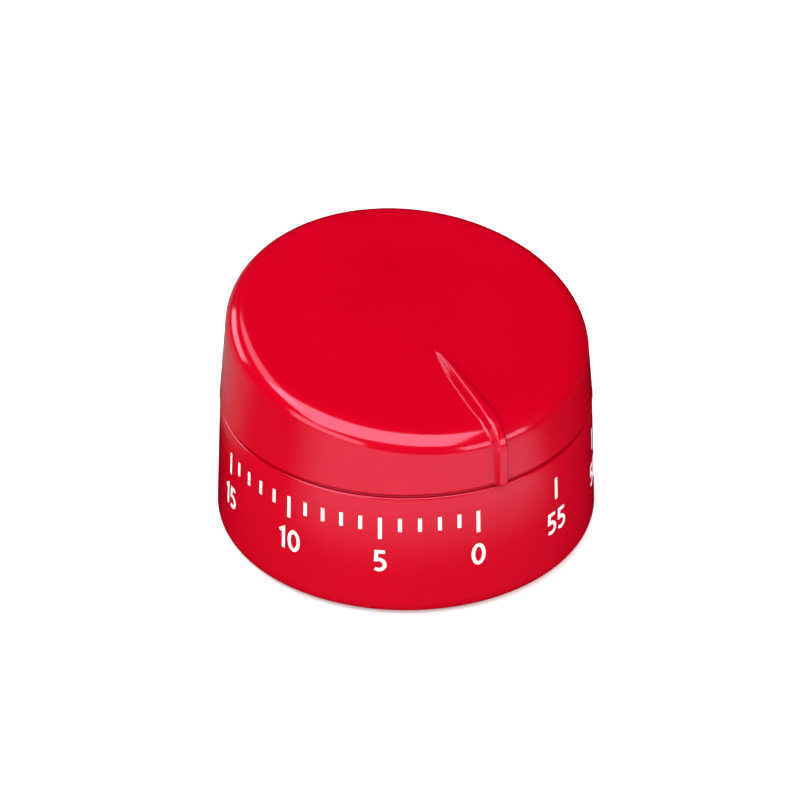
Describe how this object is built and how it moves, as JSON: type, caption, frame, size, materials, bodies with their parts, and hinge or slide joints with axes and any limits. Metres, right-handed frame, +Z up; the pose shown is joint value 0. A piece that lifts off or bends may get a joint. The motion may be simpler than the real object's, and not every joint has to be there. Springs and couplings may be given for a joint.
{
  "type": "kitchen timer",
  "caption": "Wind-up kitchen timer: round base with a minute scale, slanted turning cap with a raised pointer, and a clockwork with bell inside.",
  "frame": {"origin": "centre of the underside of the base, on the turning axis", "axes": "+Z up along the turning axis of the cap; the zero mark of the minute scale faces -Y"},
  "size_m": [0.065, 0.065, 0.0447],
  "materials": {
    "red_plastic": "gloss",
    "cover_plastic": "satin",
    "steel": "satin",
    "brass": "satin",
    "spring_steel": "satin",
    "bell_steel": "gloss"
  },
  "bodies": {
    "base": {"base_shell": "red_plastic", "bottom_cover": "cover_plastic", "cover_screws": "steel", "movement_screws": "steel", "lower_plate": "brass", "upper_plate": "brass", "plate_pillars": "steel", "mainspring": "spring_steel", "hairspring": "spring_steel", "bell": "bell_steel", "bell_screw": "steel", "release_stud": "steel"},
    "cap_group": {"cap": "red_plastic", "main_arbor": "steel", "great_wheel": "brass", "ratchet_wheel": "steel", "strike_cam": "brass", "click_rivet": "steel", "click_spring": "spring_steel"},
    "click": {"click_pawl": "steel"},
    "second": {"second_pinion": "steel", "second_wheel": "brass"},
    "third": {"third_pinion": "steel", "third_wheel": "brass"},
    "escape": {"escape_pinion": "steel", "escape_wheel": "brass"},
    "pallets": {"pallet_lever": "brass", "pallet_pins": "steel", "pallet_arbor": "steel"},
    "balance": {"balance_staff": "steel", "balance_wheel": "brass"},
    "alarm": {"alarm_pinion": "steel", "star_wheel": "steel"},
    "hammer": {"hammer_arbor": "steel", "hammer_arm": "steel", "hammer_head": "brass"},
    "release": {"release_lever": "steel"}
  },
  "joints": [
    {"name": "cap_turn", "type": "hinge", "parent": "base", "child": "cap_group", "pos_m": [0, 0, 0], "axis": [0, 0, 1], "range_deg": [-354, 0]},
    {"name": "second_turn", "type": "hinge", "parent": "base", "child": "second", "pos_m": [0, 0.016, 0], "axis": [0, 0, 1], "range_deg": [0, 3186]},
    {"name": "third_turn", "type": "hinge", "parent": "base", "child": "third", "pos_m": [0.0106, 0.01394, 0], "axis": [0, 0, 1], "range_deg": [-25488, 0]},
    {"name": "escape_turn", "type": "hinge", "parent": "base", "child": "escape", "pos_m": [0.01576, 0.00657, 0], "axis": [0, 0, 1], "range_deg": [0, 203904]},
    {"name": "alarm_turn", "type": "hinge", "parent": "base", "child": "alarm", "pos_m": [-0.01504, -0.00547, 0], "axis": [0, 0, 1], "range_deg": [0, 3186]},
    {"name": "balance_swing", "type": "hinge", "parent": "base", "child": "balance", "pos_m": [0.018, -0.00609, 0], "axis": [0, 0, 1], "range_deg": [-22, 22], "stiffness_Nm_per_rad": 0.0000011},
    {"name": "lever_swing", "type": "hinge", "parent": "base", "child": "pallets", "pos_m": [0.01669, 0.0013, 0], "axis": [0, 0, 1], "range_deg": [-7.7, 7.7]},
    {"name": "hammer_swing", "type": "hinge", "parent": "base", "child": "hammer", "pos_m": [-0.02054, -0.01002, 0], "axis": [0, 0, 1], "range_deg": [-3.5, 5]},
    {"name": "release_drop", "type": "hinge", "parent": "base", "child": "release", "pos_m": [-0.00863, -0.00687, 0], "axis": [0, 0, 1], "range_deg": [0, 8]},
    {"name": "click_lift", "type": "hinge", "parent": "cap_group", "child": "click", "pos_m": [0.00691, -0.00265, 0], "axis": [0, 0, 1], "range_deg": [0, 12]}
  ],
  "couplings": [
    {"joint": "second_turn", "follows": "cap_turn", "ratio": -9},
    {"joint": "third_turn", "follows": "cap_turn", "ratio": 72},
    {"joint": "escape_turn", "follows": "cap_turn", "ratio": -576},
    {"joint": "alarm_turn", "follows": "cap_turn", "ratio": -9},
    {"joint": "lever_swing", "follows": "balance_swing", "ratio": -0.35}
  ]
}
